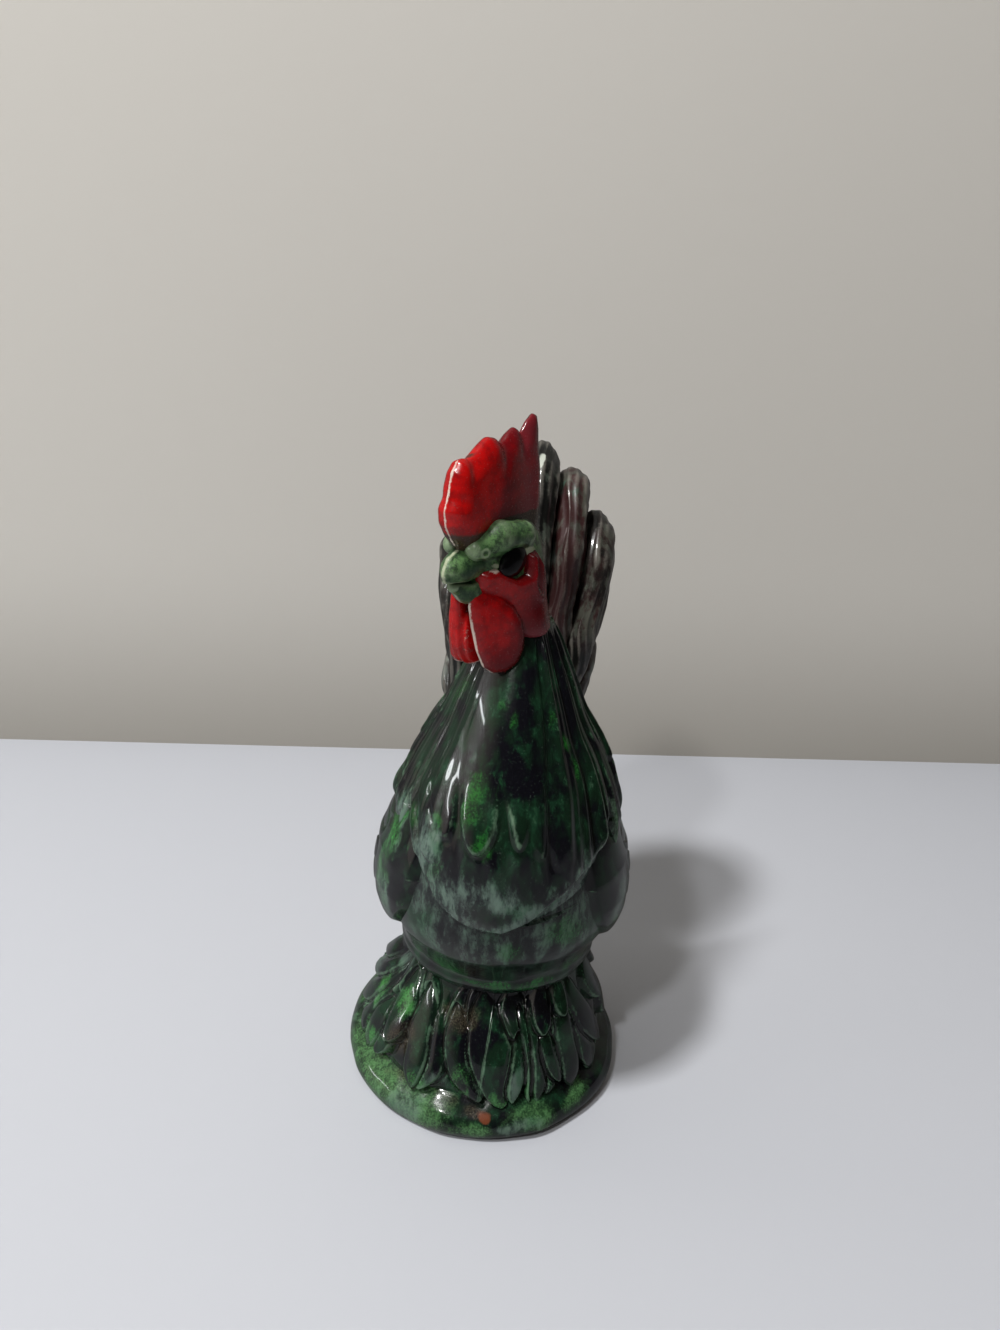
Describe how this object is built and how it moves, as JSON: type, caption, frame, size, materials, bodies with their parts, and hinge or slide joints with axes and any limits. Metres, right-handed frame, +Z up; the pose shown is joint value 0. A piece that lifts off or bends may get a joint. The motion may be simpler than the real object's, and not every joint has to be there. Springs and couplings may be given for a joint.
{
  "type": "rooster figurine",
  "caption": "Free-standing glazed ceramic rooster on a round hollow base, head turned to one side, with red comb and wattles, long hackle, wings and upright plumed tail.",
  "frame": {"origin": "middle of the footprint box, on the plane the base stands on", "axes": "+Z up; the bird faces -Y; the bird's left side is +X"},
  "size_m": [0.087, 0.1096, 0.2035],
  "materials": {
    "base_green": "glossy green glaze over dark clay, darker in its hollows",
    "dark_green": "glossy bottle green and black glaze",
    "breast_grey_green": "glossy milky grey-green glaze with dark green runs",
    "hackle_green": "glossy bottle green and black glaze with pale ridges",
    "face_sage": "glossy sage green glaze, speckled dark",
    "comb_red": "glossy red glaze, worn pale on its edges",
    "eye_black": "glossy black glaze",
    "tail_dark": "glossy black, wine-brown and grey-green glaze"
  },
  "bodies": {
    "root": {"base_mound": "base_green", "thigh_feathers_left": "dark_green", "thigh_feathers_right": "dark_green", "body_shell": "breast_grey_green", "neck_hackle": "hackle_green", "wing_left": "dark_green", "wing_right": "dark_green", "saddle_feathers": "dark_green", "head": "face_sage", "comb": "comb_red", "beak_upper": "face_sage", "beak_lower": "face_sage", "eye_left": "eye_black", "eye_right": "eye_black", "cheek_left": "comb_red", "cheek_right": "comb_red", "wattle_left": "comb_red", "wattle_right": "comb_red", "tail_core": "tail_dark", "tail_plume_top_left": "tail_dark", "tail_plume_top_right": "tail_dark", "tail_plume_upper_left": "tail_dark", "tail_plume_upper_right": "tail_dark", "tail_plume_outer_left": "tail_dark", "tail_plume_outer_right": "tail_dark", "tail_plume_lower_left": "tail_dark", "tail_plume_lower_right": "tail_dark"}
  },
  "joints": []
}
